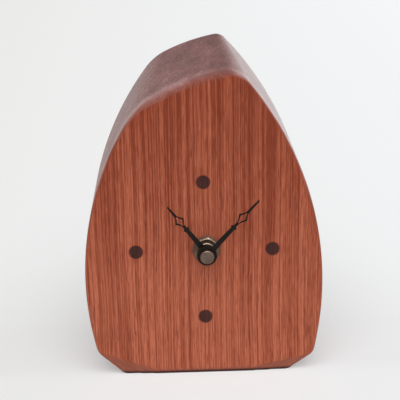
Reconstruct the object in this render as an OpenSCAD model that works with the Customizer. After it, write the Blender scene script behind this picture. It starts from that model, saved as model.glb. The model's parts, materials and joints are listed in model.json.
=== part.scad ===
// Wooden desk clock with a battery quartz movement.
// X runs to the right across the dial, Y runs back into the block and Z is up.
// The origin is the middle of the flat base. Lengths are in millimetres.

/* [Block] */
// Depth of the block, from the front face to the back face
block_d = 66; // [50:1:90]
// Reach of the left side from the dial's centre line
left_reach = 56.5; // [52:0.5:64]
// Radius of the left side's long curve
left_r = 148; // [130:1:200]
// Height at which the left side is widest
left_z = 48; // [42:0.5:54]
// Reach of the right side from the dial's centre line
right_reach = 56; // [52:0.1:64]
// Radius of the right side's long curve
right_r = 157; // [135:0.5:200]
// Height at which the right side is widest
right_z = 45; // [40:0.5:54]
// Radius of the curved top
crown_r = 97; // [80:1:140]
// Sideways place of the top curve's highest point
crown_x = 25.7; // [15:0.1:35]
// Height of the top curve above the base, at the front face
crown_z = 148.5; // [140:0.5:165]
// How much higher the top curve is at the back face
crown_rise = 6.7; // [0:0.1:12]
// Width of the flat base
foot_w = 79.2; // [60:0.2:90]
// Sideways run of the cut at the left foot
left_cut_run = 12.4; // [8:0.1:16]
// Rise of the cut at the left foot
left_cut_rise = 11.9; // [6:0.1:15]
// Sideways run of the cut at the right foot
right_cut_run = 11.5; // [8:0.1:16]
// Rise of the cut at the right foot
right_cut_rise = 8.6; // [6:0.1:15]
// Height of the bevel along the bottom of the front face
front_bevel = 2.4; // [0.5:0.1:4]
// Depth of that bevel at the base
front_bevel_y = 0.5; // [0.2:0.1:1.2]
// Where the wider corner bevels start, from the centre line
corner_bevel_x = 24; // [15:1:30]
// How far back the corner bevels reach on the base
corner_bevel_y = 1.6; // [1.4:0.1:5]

/* [Dial] */
// Thickness of wood left behind the dial
dial_wall = 6; // [4:0.5:9]
// Sideways place of the hands' shaft
shaft_x = 1; // [-3:0.1:3]
// Height of the hands' shaft
shaft_z = 63.5; // [58:0.5:70]
// Height of the middle of the hour marks
marks_z = 62.8; // [58:0.1:70]
// Distance across the dial between the marks at three and nine
marks_across = 64.2; // [50:0.1:80]
// Distance up the dial between the marks at twelve and six
marks_up = 66.8; // [50:0.1:80]
// Diameter of the wooden mark dowels
mark_d = 6.35; // [4:0.05:9]
// Thickness of wood left behind the mark dowels
mark_back = 1; // [0.6:0.1:2]

/* [Shaft fasteners] */
// Outer diameter of the threaded bushing
bush_d = 7.9; // [7:0.1:9.5]
// Length of bushing thread that stands out of the dial
bush_out = 4.5; // [3.6:0.1:6]
// Pitch of the bushing's thread
bush_pitch = 0.75; // [0.5:0.05:1]
// Outer diameter of the flat washer
washer_d = 13.3; // [12:0.1:20]
// Thickness of the flat washer
washer_t = 0.8; // [0.5:0.1:1.2]
// Width of the hexagon nut across its flats
nut_af = 11.1; // [10.5:0.1:14]
// Thickness of the hexagon nut
nut_t = 2.2; // [1.5:0.1:2.6]
// Outer diameter of the rubber gasket behind the dial
gasket_d = 24; // [16:0.5:34]
// Thickness of the rubber gasket
gasket_t = 0.8; // [0.5:0.1:2]
// Diameter of the closed cap nut on the minute hand
cap_d = 6.5; // [5:0.1:8]
// Length of the cap nut
cap_l = 2.6; // [2:0.1:4]

/* [Hour hand] */
// Place of the hour hand at rest, in degrees clockwise from twelve
hour_angle = -37.7; // [-180:0.1:180]
// Space between the bushing's end and the hour hand's collar
hour_gap = 0.5; // [0.3:0.1:1.5]
// Distance from the shaft to the hour hand's crossbar
hour_bar = 15.1; // [13:0.1:15.4]
// Distance from the shaft to the start of the hour hand's diamond
hour_diamond_start = 16.2; // [16.1:0.1:17.5]
// Distance from the shaft to the diamond's widest place
hour_diamond_wide = 20.1; // [19.5:0.1:21.2]
// Distance from the shaft to the end of the diamond
hour_diamond_end = 24; // [23.4:0.1:26]
// Length of the hour hand from the shaft to its tip
hour_l = 29; // [27:0.1:34]
// Diameter of the hour hand's hub
hour_hub_d = 7.2; // [6.8:0.1:9]
// Diameter of the tube that carries the hour hand
hour_tube_d = 5; // [4.4:0.1:5.2]

/* [Minute hand] */
// Place of the minute hand at rest, in degrees clockwise from twelve
minute_angle = 42.9; // [-180:0.1:180]
// Space between the hour tube's end and the minute hand's collar
hands_gap = 1.2; // [0.4:0.1:2]
// Distance from the shaft to the minute hand's crossbar
minute_bar = 18.3; // [16:0.1:18.6]
// Distance from the shaft to the start of the minute hand's diamond
minute_diamond_start = 19.9; // [19.3:0.1:21.5]
// Distance from the shaft to the diamond's widest place
minute_diamond_wide = 24.8; // [23.4:0.1:25.6]
// Distance from the shaft to the end of the diamond
minute_diamond_end = 28.7; // [27.8:0.1:31]
// Length of the minute hand from the shaft to its tip
minute_l = 35.6; // [32:0.1:40]
// Diameter of the minute hand's hub
minute_hub_d = 9.3; // [7:0.1:12]
// Diameter of the minute shaft
minute_shaft_d = 3.4; // [3:0.1:3.8]
// Diameter of the minute shaft's threaded end
minute_thread_d = 2.6; // [2:0.1:2.8]

/* [Hand shape] */
// Thickness of the hands' blades
hand_t = 0.5; // [0.3:0.1:0.7]
// Thickness of the hands' hubs
hub_t = 0.7; // [0.7:0.1:1]
// Wall of the collars behind the hubs
collar_wall = 0.65; // [0.4:0.05:0.9]
// Width of the stem at the hub
stem_hub_w = 2.9; // [2:0.1:4]
// Width of the stem at the crossbar
stem_bar_w = 1.8; // [1.4:0.1:2.4]
// Diameter of the crossbar's two knobs
knob_d = 1.3; // [0.9:0.1:1.5]
// Distance between the middles of the two knobs
knob_space = 1.6; // [1.2:0.1:2.2]
// Width of the diamond
diamond_w = 4.9; // [4.2:0.1:7]
// Width of the bars that make the diamond
diamond_bar = 0.9; // [0.6:0.05:1]
// Length of solid metal at the diamond's two points
diamond_point = 1.3; // [1:0.1:1.6]
// Width of the needle where it leaves the diamond
needle_w = 1.3; // [0.9:0.1:1.6]
// Width of the needle at its tip
tip_w = 0.7; // [0.4:0.05:0.8]

/* [Battery] */
// Diameter of the battery, size AA
battery_d = 14.5; // [13:0.1:16]
// Length of the battery's body, without its positive button
battery_l = 49.5; // [46:0.1:54]
// Diameter of the positive button
button_d = 5.5; // [4:0.1:7]
// Height of the positive button
button_l = 1; // [0.6:0.1:2]
// Thickness of the battery's sleeve
sleeve_t = 0.2; // [0.1:0.05:0.4]
// Free space all round the battery
battery_play = 0.35; // [0.25:0.05:0.8]

/* [Movement case] */
// Thickness of the case's walls
case_wall = 1.2; // [0.8:0.1:2]
// Height of the case above the shaft
case_up = 28; // [27.5:0.5:32]
// Radius of the case's corners
case_corner = 3; // [2:0.5:4]
// Depth of the front half of the case
case_split = 10; // [9:0.5:10.5]
// Space between the case's corners and the bored recess
recess_clear = 1; // [0.5:0.1:3]
// Diameter of the setting knob
dial_knob_d = 13; // [9:0.5:13.5]
// Length of the setting knob
dial_knob_l = 4.5; // [3.5:0.5:8]
// Ridges round the setting knob
dial_knob_ridges = 36; // [18:1:48]
// Diameter of the setting stem
stem_d = 3; // [2:0.1:3.4]
// Number of moulded ribs on the back of the case
rib_count = 5; // [3:1:7]

/* [Gears] */
// Thickness of the wheels
wheel_t = 1; // [0.8:0.05:1.3]
// Free space between wheels along their shafts
wheel_gap = 0.6; // [0.4:0.05:0.8]
// Thickness of the train plate
plate_t = 0.8; // [0.6:0.05:1.2]
// Diameter of the pivots at the ends of the shafts
pivot_d = 0.8; // [0.6:0.05:1]
// Running clearance on the radius of every shaft
run_clear = 0.05; // [0.02:0.01:0.08]
// Distance from the shaft to the third wheel
third_dist = 10.2; // [10:0.05:10.8]
// Distance from the shaft to the reverse wheel
reverse_dist = 9.6; // [9.2:0.1:10]
// Distance from the shaft to the fifth wheel
fifth_dist = 10.5; // [10.3:0.05:11]
// Distance from the fifth wheel to the rotor
rotor_dist = 7.2; // [7:0.05:7.6]

/* [Motor] */
// Diameter of the rotor magnet
magnet_d = 6; // [5:0.1:6.4]
// Length of the rotor magnet
magnet_l = 3; // [2:0.1:3.4]
// Gap between the magnet and the stator
magnet_gap = 0.6; // [0.4:0.05:0.7]
// Outer diameter of the coil's flanges
coil_d = 9; // [7:0.1:9.4]
// Length of the coil
coil_l = 20; // [16:0.5:20.5]
// Thickness of the stator and of the coil core
lamination_t = 0.8; // [0.6:0.05:0.9]

/* [Hidden] */

$fn = 64;
// Number of sides on the block's long curves and on its bored recess
long_fn = 360;
recess_fn = 128;
// A length that reaches past the whole clock, and one that keeps cuts clean
past = 400;
eps = 0.01;

// Places along Y, measured from the middle of the block
front_y = -block_d / 2;
move_y = front_y + dial_wall + gasket_t;

// Holes that the bushing passes, and the glued sockets of the mark dowels
bush_hole_clear = 0.3;
bush_hole_r = bush_d / 2 + bush_hole_clear;
mark_glue = 0.2;
socket_l = dial_wall - mark_back;
mark_l = socket_l - mark_glue;
mark_places = [[0, marks_z + marks_up / 2], [marks_across / 2, marks_z],
               [0, marks_z - marks_up / 2], [-marks_across / 2, marks_z]];

// Turn of the hexagon nut, its chamfer and the thread's grooves
nut_turn = 21;
nut_chamfer_angle = 30;
groove_depth = 0.35;
bush_flange_w = 1.3;

// Heights of the shaft parts in front of the dial
nut_top = washer_t + nut_t;
hour_collar_l = 0.7;
tube_over = 0.2;
minute_collar_l = 1.2;
hour_collar_h = bush_out + hour_gap;
hour_h = hour_collar_h + hour_collar_l;
tube_top = hour_h + hub_t + tube_over;
minute_collar_h = tube_top + hands_gap;
minute_h = minute_collar_h + minute_collar_l;
minute_top = minute_h + hub_t;
cap_wall = 0.7;
cap_edge = 0.35;
thread_top = minute_top + cap_l - cap_wall;
bush_bore_r = hour_tube_d / 2 + run_clear;
tube_bore_r = minute_shaft_d / 2 + run_clear;

// Marks along each hand: crossbar, the diamond's start, its corners, its end and the tip
hour_marks = [hour_bar, hour_diamond_start, hour_diamond_wide, hour_diamond_end, hour_l];
minute_marks = [minute_bar, minute_diamond_start, minute_diamond_wide, minute_diamond_end, minute_l];
// Share of the diamond's half width that is left at the middle of its hollow sides
hollow = 0.42;

// Teeth of each gear of the train
hour_teeth = 40;
reverse_pinion_teeth = 10;
reverse_teeth = 36;
cannon_teeth = 12;
setting_teeth = 18;
centre_teeth = 60;
third_pinion_teeth = 8;
third_teeth = 64;
second_pinion_teeth = 8;
second_teeth = 60;
fifth_pinion_teeth = 10;
fifth_teeth = 40;
rotor_teeth = 8;

// Module of each meshing pair, from its shaft distance
hour_mod = 2 * reverse_dist / (hour_teeth + reverse_pinion_teeth);
reverse_mod = 2 * reverse_dist / (reverse_teeth + cannon_teeth);
centre_mod = 2 * third_dist / (centre_teeth + third_pinion_teeth);
third_mod = 2 * third_dist / (third_teeth + second_pinion_teeth);
second_mod = 2 * fifth_dist / (second_teeth + fifth_pinion_teeth);
fifth_mod = 2 * rotor_dist / (fifth_teeth + rotor_teeth);

// Height and depth of a tooth, in modules
addendum = 0.75;
dedendum = 1.05;
// Share of the tooth pitch that a tooth takes at its root and at its tip
root_share = 0.54;
tip_share = 0.22;

// Directions from shaft to shaft, in degrees from +X towards +Z
third_dir = 170;
reverse_dir = 0;
setting_dir = 15;
fifth_dir = 60;
rotor_dir = 60;

function polar(dist, angle) = dist * [cos(angle), sin(angle)];
third_at = polar(third_dist, third_dir);
reverse_at = polar(reverse_dist, reverse_dir);
setting_at = reverse_at + polar(reverse_mod * (reverse_teeth + setting_teeth) / 2, setting_dir);
fifth_at = polar(fifth_dist, fifth_dir);
rotor_at = fifth_at + polar(rotor_dist, rotor_dir);

// Angle of a tooth on gear B that meshes with gear A, whose tooth stands at phase_a
function mesh_phase(dir, teeth_a, phase_a, teeth_b) =
    dir + 180 + 180 / teeth_b - (phase_a - dir) * teeth_a / teeth_b;
reverse_phase = mesh_phase(reverse_dir, cannon_teeth, reverse_dir, reverse_teeth);

// Radii of the hidden shafts and of what carries them
pivot_r = pivot_d / 2;
arbor_shoulder = 0.15;
arbor_r = pivot_r + arbor_shoulder;
pivot_in = 1.2;
pivot_floor = 0.3;
boss_wall = 1;
boss_r = pivot_r + boss_wall;
sleeve_r = 1.4;
centre_hub_w = 1.2;
second_pivot_r = 0.6;
reverse_post_r = 1;
stem_pivot_r = 0.8;
stem_boss_w = 0.8;

// Depths of the gear planes behind the front of the movement case
hour_v = case_wall + wheel_gap;
cannon_v = hour_v + wheel_t + wheel_gap;
plate_v = cannon_v + wheel_t + wheel_gap;
centre_v = plate_v + plate_t + wheel_gap;
third_v = centre_v + wheel_t + wheel_gap;
second_v = third_v + wheel_t + wheel_gap;
fifth_v = second_v + wheel_t + wheel_gap;
rear_v = fifth_v + wheel_t + wheel_gap;
sleeve_end_v = centre_v + wheel_t + wheel_gap / 2;

// Battery bay under the gears
bay_wall_t = 1;
centre_tip_r = centre_mod * (centre_teeth / 2 + addendum);
bay_wall_top = -centre_tip_r - wheel_gap;
bay_top = bay_wall_top - bay_wall_t;
battery_z = bay_top - battery_play - battery_d / 2;
battery_v = case_wall + battery_play / 2 + battery_d / 2;
contact_t = 0.4;
contact_gap = 0.1;
spring_room = 2.2;
bay_l = battery_l + button_l + 2 * contact_t + spring_room + 2 * contact_gap;

// Case around the gears and the battery
case_down = -(battery_z - battery_d / 2 - battery_play - case_wall);
case_d = max(case_wall + battery_play + battery_d, rear_v + pivot_in + pivot_floor + case_wall);
case_half = bay_l / 2 + case_wall;
inner_half = case_half - case_wall;
inner_top = case_up - case_wall;
inner_bottom = -case_down + case_wall;
rear_in = case_d - case_wall;
inner_corner = max(case_corner - case_wall, eps);
recess_r = norm([case_half - case_corner, max(case_up, case_down) - case_corner])
    + case_corner + recess_clear;

// Moulded ribs on the back of the case, beside its top left corner
rib_in = 5;
rib_l = 20;
rib_w = 1;
rib_t = 0.4;
rib_pitch = 2.6;

// Setting knob behind the case
knob_gap = 0.6;
knob_in = 3;
knob_rim = 0.8;
knob_face_in = 0.4;
knob_dish_w = 2.6;

// Battery and its place along X
battery_left = inner_half - contact_t - contact_gap - button_l - battery_l;
sleeve_end = 0.6;

// Motor places, seen from the front of the movement
coil_clear = 0.8;
core_h = 3;
core_in = 1.4;
core_over = 5;
core_right_more = 3;
coil_at = [-inner_half + core_in + core_over + coil_l / 2, inner_top - coil_d / 2 - coil_clear];
stator_back = 0.1;
stator_v = third_v + stator_back;
core_v = stator_v - lamination_t;
coil_v = core_v + lamination_t / 2;
core_left = coil_at[0] - coil_l / 2 - core_over;
core_right = coil_at[0] + coil_l / 2 + core_over + core_right_more;
stator_clear = 0.3;
stator_r = rotor_dist - arbor_r - stator_clear;
stator_leg_w = 3;
stator_arm_drop = 1.2;
flange_t = 0.8;
bobbin_wall = 0.7;
winding_in = 0.5;

// Circuit board behind the wheels on the left, with what stands on it
board_edge = 0.8;
board_gap = 1.5;
board_lift = 0.4;
board_x = [-inner_half + board_edge, third_at[0] - boss_r - board_gap];
board_z = [bay_wall_top + board_lift, coil_at[1] - coil_d / 2 - board_gap];
board_v = second_v + wheel_t;
board_t = 1;
board_post_x = 4;
board_post_z = 3;
board_posts = [for (z = [board_z[0] + board_post_z, board_z[1] - board_post_z])
    [board_x[0] + board_post_x, z]];
board_post_r = 1.5;
chip_in = [4.2, 7];
chip_at = [board_x[1], board_z[1]] - chip_in;
chip_r = 2.6;
chip_t = 0.9;
crystal_in = 3.4;
crystal_up = 4;
crystal_at = [board_x[1] - crystal_in, board_z[0] + crystal_up];
crystal_r = 1;
crystal_l = 6;

// Contact strips: they run behind the wheels and end in tabs on the board
strip_w = 1.6;
strip_v = rear_v;
strip_end_v = strip_v + strip_w;
contact_half = 4;
contact_front = 4.5;
contact_front_v = battery_v - contact_front;
contact_low = battery_z - contact_half;
contact_high = battery_z + contact_half;
leaf_w = 5;
leaf_half_top = 0.8;
leaf_foot = 0.5;
tab_w = 1;
tab_h = 1.2;
tab_lift = 0.2;
tab_z = [board_z[0] + tab_lift, board_z[0] + tab_lift + tab_h];
slot_clear = 0.1;

// Train plate, the posts that carry it and those that carry the coil core
post_r = 1.2;
post_in = 2.5;
plate_left = 6.5;
plate_right = 3.5;
plate_top = 1.7;
plate_x = [third_at[0] - plate_left, setting_at[0] + stem_d / 2 + plate_right];
plate_z = [bay_wall_top + wheel_gap, rotor_at[1] - plate_top];
// The plate's upper tab, which carries the rotor and the fourth post
tab_left = 4.5;
tab_right = 7.6;
tab_up = 4.5;
tab_plate_x = [rotor_at[0] - tab_left, rotor_at[0] + tab_right];
tab_plate_top = rotor_at[1] + tab_up;
plate_posts = [[plate_x[0] + post_in, plate_z[0] + post_in],
               [plate_x[0] + post_in, plate_z[1] - post_in],
               [plate_x[1] - post_in, plate_z[0] + post_in],
               [tab_plate_x[1] - post_in, tab_plate_top - post_in]];
core_post_in = 1.8;
core_posts = [[core_left + core_post_in, coil_at[1]], [core_right - core_post_in, coil_at[1]]];

// Places a flat shape, drawn as X and Z, from depth y over a thickness t
module slab(y, t) {
    translate([0, y + t, 0])
        rotate([90, 0, 0])
            linear_extrude(height = t)
                children();
}

// The same, round the shaft and measured from the front of the movement case
module layer(v, t) {
    translate([shaft_x, move_y, shaft_z])
        slab(v, t)
            children();
}

// The same, round the shaft and measured forwards from the dial
module outward(h, t) {
    translate([shaft_x, front_y, shaft_z])
        slab(-h - t, t)
            children();
}

// A round bar at a place seen from the front of the movement
module post(place, v, t, r) {
    layer(v, t)
        translate(place)
            circle(r = r);
}

// A flat box given by its low and high corners
module box2(low, high) {
    translate(low)
        square(high - low);
}

// A rectangle with round corners
module round_box2(low, high, r) {
    box2(low + [r, 0], high - [r, 0]);
    box2(low + [0, r], high - [0, r]);
    for (x = [low[0] + r, high[0] - r], y = [low[1] + r, high[1] - r])
        translate([x, y])
            circle(r = r);
}

// Outline of a toothed wheel with one tooth at the angle phase
module gear2(teeth, mod, phase) {
    root = mod * (teeth / 2 - dedendum);
    tip = mod * (teeth / 2 + addendum);
    half_pitch = 180 / teeth;
    corners = [[root, -root_share], [tip, -tip_share], [tip, tip_share], [root, root_share]];
    polygon([for (i = [0 : teeth - 1], corner = corners)
        polar(corner[0], phase + (2 * i + corner[1]) * half_pitch)]);
}

// A shaft with a pivot at each end, from the train plate to the rear case
module arbor(place) {
    shoulder = plate_v + plate_t + run_clear;
    back = rear_v - run_clear;
    post(place, plate_v, plate_t + 2 * run_clear, pivot_r);
    post(place, shoulder, back - shoulder, arbor_r);
    post(place, back - eps, pivot_in + eps, pivot_r);
}

// Removes all that lies beyond the plane through a, b and c
module plane_cut(a, b, c) {
    normal = cross(c - a, b - a);
    translate(a)
        rotate([0, acos(normal[2] / norm(normal)), atan2(normal[1], normal[0])])
            translate([-past / 2, -past / 2, 0])
                cube([past, past, past]);
}

// Front outline of the block below its curved top
module block_outline() {
    half = foot_w / 2;
    reach = 3;
    intersection() {
        translate([left_r - left_reach, left_z])
            circle(r = left_r, $fn = long_fn);
        translate([right_reach - right_r, right_z])
            circle(r = right_r, $fn = long_fn);
        polygon([[-half, 0], [half, 0],
                 [half + reach * right_cut_run, reach * right_cut_rise], [past, past], [-past, past],
                 [-half - reach * left_cut_run, reach * left_cut_rise]]);
    }
}

// The curved top: a long cylinder whose axis climbs towards the back
module crown() {
    climb = atan2(crown_rise, block_d);
    translate([crown_x, front_y, crown_z - crown_r])
        rotate([climb - 90, 0, 0])
            translate([0, 0, -past / 2])
                cylinder(r = crown_r, h = past, $fn = long_fn);
}

module block() {
    half = foot_w / 2;
    foot_y = front_y + corner_bevel_y;
    color([0.63, 0.31, 0.23])
    difference() {
        intersection() {
            slab(front_y, block_d)
                block_outline();
            crown();
        }
        // bevels where the front face meets the base
        plane_cut([0, front_y + front_bevel_y, 0], [-1, front_y, front_bevel], [1, front_y, front_bevel]);
        plane_cut([-corner_bevel_x, front_y, front_bevel],
                  [-half, foot_y, 0],
                  [-half - left_cut_run, front_y, left_cut_rise]);
        plane_cut([corner_bevel_x, front_y, front_bevel],
                  [half + right_cut_run, front_y, right_cut_rise],
                  [half, foot_y, 0]);
        // shaft hole and bored recess for the movement
        layer(-past / 2, past)
            circle(r = bush_hole_r);
        translate([shaft_x, 0, shaft_z])
            slab(front_y + dial_wall, block_d)
                circle(r = recess_r, $fn = recess_fn);
        // sockets of the hour marks
        for (place = mark_places)
            slab(front_y - eps, socket_l + eps)
                translate(place)
                    circle(d = mark_d);
    }
}

module marker(place) {
    color([0.28, 0.16, 0.15])
    slab(front_y, mark_l)
        translate(place)
            circle(d = mark_d);
}

module marker_12() {
    marker(mark_places[0]);
}

module marker_3() {
    marker(mark_places[1]);
}

module marker_6() {
    marker(mark_places[2]);
}

module marker_9() {
    marker(mark_places[3]);
}

module dial_washer() {
    color([0.45, 0.40, 0.34])
    outward(0, washer_t)
        difference() {
            circle(d = washer_d);
            circle(r = bush_hole_r);
        }
}

module hex_nut() {
    flat_r = nut_af / 2;
    corner_r = flat_r / cos(30);
    slope = tan(nut_chamfer_angle);
    color([0.78, 0.62, 0.33])
    difference() {
        outward(washer_t, nut_t)
            rotate(nut_turn)
                circle(r = corner_r, $fn = 6);
        // chamfered corners on the outer side
        translate([shaft_x, front_y - nut_top, shaft_z])
            rotate([-90, 0, 0])
                rotate_extrude()
                    polygon([[flat_r, -eps], [corner_r + 1, -eps],
                             [corner_r + 1, (corner_r + 1 - flat_r) * slope]]);
        outward(-1, nut_top + 2)
            circle(d = bush_d);
    }
}

module threaded_bushing() {
    thread_r = bush_d / 2;
    thread_l = dial_wall + gasket_t + bush_out;
    shown = bush_out - nut_top;
    grooves = floor((shown - groove_depth) / bush_pitch);
    color([0.80, 0.66, 0.38])
    difference() {
        union() {
            layer(-thread_l, thread_l + case_wall)
                circle(r = thread_r);
            layer(case_wall, wheel_gap / 2)
                circle(r = thread_r + bush_flange_w);
        }
        // thread grooves on the stretch that stands out of the nut
        translate([shaft_x, front_y - bush_out, shaft_z])
            rotate([-90, 0, 0])
                rotate_extrude()
                    for (i = [1 : grooves])
                        translate([thread_r, i * bush_pitch])
                            polygon([[-groove_depth, 0], [eps, -groove_depth], [eps, groove_depth]]);
        layer(-past / 2, past)
            circle(r = bush_bore_r);
    }
}

module gasket() {
    color([0.10, 0.10, 0.10])
    layer(-gasket_t, gasket_t)
        difference() {
            circle(d = gasket_d);
            circle(r = bush_hole_r);
        }
}

// Diamond whose sides bend inwards, from its low end to its high end
function diamond(low, wide, high, half, flat) =
    let (lo = (low + wide) / 2, hi = (high + wide) / 2)
    [[-flat, low], [flat, low], [half * hollow, lo], [half, wide], [half * hollow, hi], [flat, high],
     [-flat, high], [-half * hollow, hi], [-half, wide], [-half * hollow, lo]];

// A hand that points straight up
module hand2(marks) {
    bar = marks[0];
    start = marks[1];
    wide = marks[2];
    end = marks[3];
    tip = marks[4];
    neck = needle_w / 2;
    knob_end = bar + knob_d / 2;
    // stem from the hub to the crossbar, and the neck beyond it
    polygon([[-stem_hub_w / 2, 0], [stem_hub_w / 2, 0], [stem_bar_w / 2, bar],
             [neck, knob_end], [neck, start + diamond_point],
             [-neck, start + diamond_point], [-neck, knob_end], [-stem_bar_w / 2, bar]]);
    for (side = [-1, 1])
        translate([side * knob_space / 2, bar])
            circle(d = knob_d);
    // open diamond with hollow sides
    difference() {
        polygon(diamond(start, wide, end, diamond_w / 2, 0));
        polygon(diamond(start + diamond_point, wide, end - diamond_point,
                        diamond_w / 2 - diamond_bar, diamond_bar / 4));
    }
    // needle
    polygon([[-neck, end - diamond_point], [neck, end - diamond_point], [tip_w / 2, tip],
             [-tip_w / 2, tip]]);
}

// A hand with its hub and the collar behind it
module hand(marks, angle, collar_h, collar_l, hub_d, bore_d) {
    h = collar_h + collar_l;
    difference() {
        union() {
            outward(h, hand_t)
                rotate(-angle)
                    hand2(marks);
            outward(h, hub_t)
                circle(d = hub_d);
            outward(collar_h, collar_l)
                circle(d = bore_d + 2 * collar_wall);
        }
        outward(collar_h - 1, collar_l + hub_t + 2)
            circle(d = bore_d);
    }
}

module hour_hand() {
    color([0.05, 0.05, 0.05])
    hand(hour_marks, hour_angle, hour_collar_h, hour_collar_l, hour_hub_d, hour_tube_d);
}

module minute_hand() {
    color([0.05, 0.05, 0.05])
    hand(minute_marks, minute_angle, minute_collar_h, minute_collar_l, minute_hub_d, minute_thread_d);
}

module cap_nut() {
    cap_r = cap_d / 2;
    color([0.36, 0.33, 0.30])
    translate([shaft_x, front_y - minute_top, shaft_z])
        rotate([90, 0, 0])
            difference() {
                rotate_extrude()
                    polygon([[0, 0], [cap_r, 0], [cap_r, cap_l - cap_edge], [cap_r - cap_edge, cap_l],
                             [0, cap_l]]);
                translate([0, 0, -1])
                    cylinder(d = minute_thread_d, h = 1 + cap_l - cap_wall);
            }
}

// Hour wheel with its tube, which carries the hour hand
module hour_wheel() {
    reach = move_y - front_y;
    color([0.93, 0.92, 0.88])
    difference() {
        union() {
            layer(hour_v, wheel_t)
                gear2(hour_teeth, hour_mod, reverse_dir);
            layer(-reach - tube_top, reach + tube_top + hour_v + eps)
                circle(d = hour_tube_d);
        }
        layer(-past / 2, past)
            circle(r = tube_bore_r);
    }
}

// Minute shaft with the cannon pinion; the centre wheel grips it by friction
module minute_arbor() {
    reach = move_y - front_y;
    cannon_back_v = cannon_v + wheel_t;
    color([0.83, 0.71, 0.43])
    difference() {
        union() {
            layer(-reach - minute_collar_h, reach + minute_collar_h + cannon_v + eps)
                circle(d = minute_shaft_d);
            layer(-reach - thread_top, thread_top - minute_collar_h + eps)
                circle(d = minute_thread_d);
            layer(cannon_v, wheel_t)
                gear2(cannon_teeth, reverse_mod, reverse_dir);
            layer(cannon_back_v - eps, sleeve_end_v - cannon_back_v + eps)
                circle(r = sleeve_r);
        }
        // bearing for the front pivot of the second wheel
        layer(plate_v, past)
            circle(r = second_pivot_r + run_clear);
    }
}

// Reverse wheel: its wheel meets the cannon pinion and its pinion turns the hour wheel
module reverse_wheel() {
    color([0.93, 0.92, 0.88])
    difference() {
        union() {
            layer(hour_v, wheel_t + wheel_gap + eps)
                translate(reverse_at)
                    gear2(reverse_pinion_teeth, hour_mod,
                          mesh_phase(reverse_dir, hour_teeth, reverse_dir, reverse_pinion_teeth));
            layer(cannon_v, wheel_t)
                translate(reverse_at)
                    gear2(reverse_teeth, reverse_mod, reverse_phase);
        }
        post(reverse_at, -past / 2, past, reverse_post_r + run_clear);
    }
}

// Setting stem, turned from the back of the clock, with the pinion that drives the reverse wheel
module setting_stem() {
    pinion_back_v = cannon_v + wheel_t;
    stem_end_v = case_d + knob_gap + knob_in;
    color([0.90, 0.89, 0.85])
    union() {
        layer(cannon_v, wheel_t)
            translate(setting_at)
                gear2(setting_teeth, reverse_mod,
                      mesh_phase(setting_dir, reverse_teeth, reverse_phase, setting_teeth));
        post(setting_at, pinion_back_v - eps, stem_end_v - pinion_back_v + eps, stem_d / 2);
        post(setting_at, case_wall, cannon_v - case_wall + eps, stem_pivot_r);
    }
}

module setting_knob() {
    knob_r = dial_knob_d / 2;
    knob_v = case_d + knob_gap;
    face_v = knob_v + dial_knob_l;
    color([0.12, 0.12, 0.13])
    difference() {
        union() {
            layer(knob_v + knob_rim, dial_knob_l - knob_rim)
                translate(setting_at)
                    gear2(dial_knob_ridges, dial_knob_d / (dial_knob_ridges + 2 * addendum), 0);
            post(setting_at, knob_v, dial_knob_l, knob_r - knob_rim);
        }
        post(setting_at, knob_v - 1, knob_in + 1, stem_d / 2);
        // shallow dish in the knob's face
        post(setting_at, face_v - knob_face_in, 1, knob_r - knob_dish_w);
    }
}

module centre_wheel() {
    hub_v = centre_v - wheel_gap / 2;
    color([0.90, 0.86, 0.74])
    difference() {
        union() {
            layer(centre_v, wheel_t)
                gear2(centre_teeth, centre_mod, third_dir);
            layer(hub_v, wheel_t + wheel_gap / 2)
                circle(r = sleeve_r + centre_hub_w);
        }
        layer(hub_v - 1, wheel_t + 2)
            circle(r = sleeve_r + run_clear);
    }
}

module third_wheel() {
    color([0.93, 0.92, 0.88])
    union() {
        arbor(third_at);
        layer(centre_v, wheel_t + wheel_gap + eps)
            translate(third_at)
                gear2(third_pinion_teeth, centre_mod,
                      mesh_phase(third_dir, centre_teeth, third_dir, third_pinion_teeth));
        layer(third_v, wheel_t)
            translate(third_at)
                gear2(third_teeth, third_mod,
                      mesh_phase(third_dir, second_pinion_teeth, third_dir, third_teeth));
    }
}

module second_wheel() {
    back = rear_v - run_clear;
    color([0.93, 0.92, 0.88])
    union() {
        post([0, 0], centre_v, third_v - centre_v + eps, second_pivot_r);
        layer(sleeve_end_v + run_clear, second_v - sleeve_end_v)
            gear2(second_pinion_teeth, third_mod, third_dir);
        layer(second_v, wheel_t)
            gear2(second_teeth, second_mod, fifth_dir);
        post([0, 0], second_v, back - second_v, arbor_r);
        post([0, 0], back - eps, pivot_in + eps, pivot_r);
    }
}

module fifth_wheel() {
    color([0.93, 0.92, 0.88])
    union() {
        arbor(fifth_at);
        layer(second_v, wheel_t + wheel_gap + eps)
            translate(fifth_at)
                gear2(fifth_pinion_teeth, second_mod,
                      mesh_phase(fifth_dir, second_teeth, fifth_dir, fifth_pinion_teeth));
        layer(fifth_v, wheel_t)
            translate(fifth_at)
                gear2(fifth_teeth, fifth_mod, rotor_dir);
    }
}

module rotor_arbor() {
    color([0.93, 0.92, 0.88])
    union() {
        arbor(rotor_at);
        layer(fifth_v, wheel_t)
            translate(rotor_at)
                gear2(rotor_teeth, fifth_mod, mesh_phase(rotor_dir, fifth_teeth, rotor_dir, rotor_teeth));
    }
}

module rotor_magnet() {
    color([0.30, 0.30, 0.33])
    difference() {
        post(rotor_at, stator_v + lamination_t / 2 - magnet_l / 2, magnet_l, magnet_d / 2);
        post(rotor_at, 0, case_d, arbor_r);
    }
}

// Outline of the whole case and of the space inside its walls
module case_outline() {
    round_box2([-case_half, -case_down], [case_half, case_up], case_corner);
}

module case_room() {
    round_box2([-inner_half, inner_bottom], [inner_half, inner_top], inner_corner);
}

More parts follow.
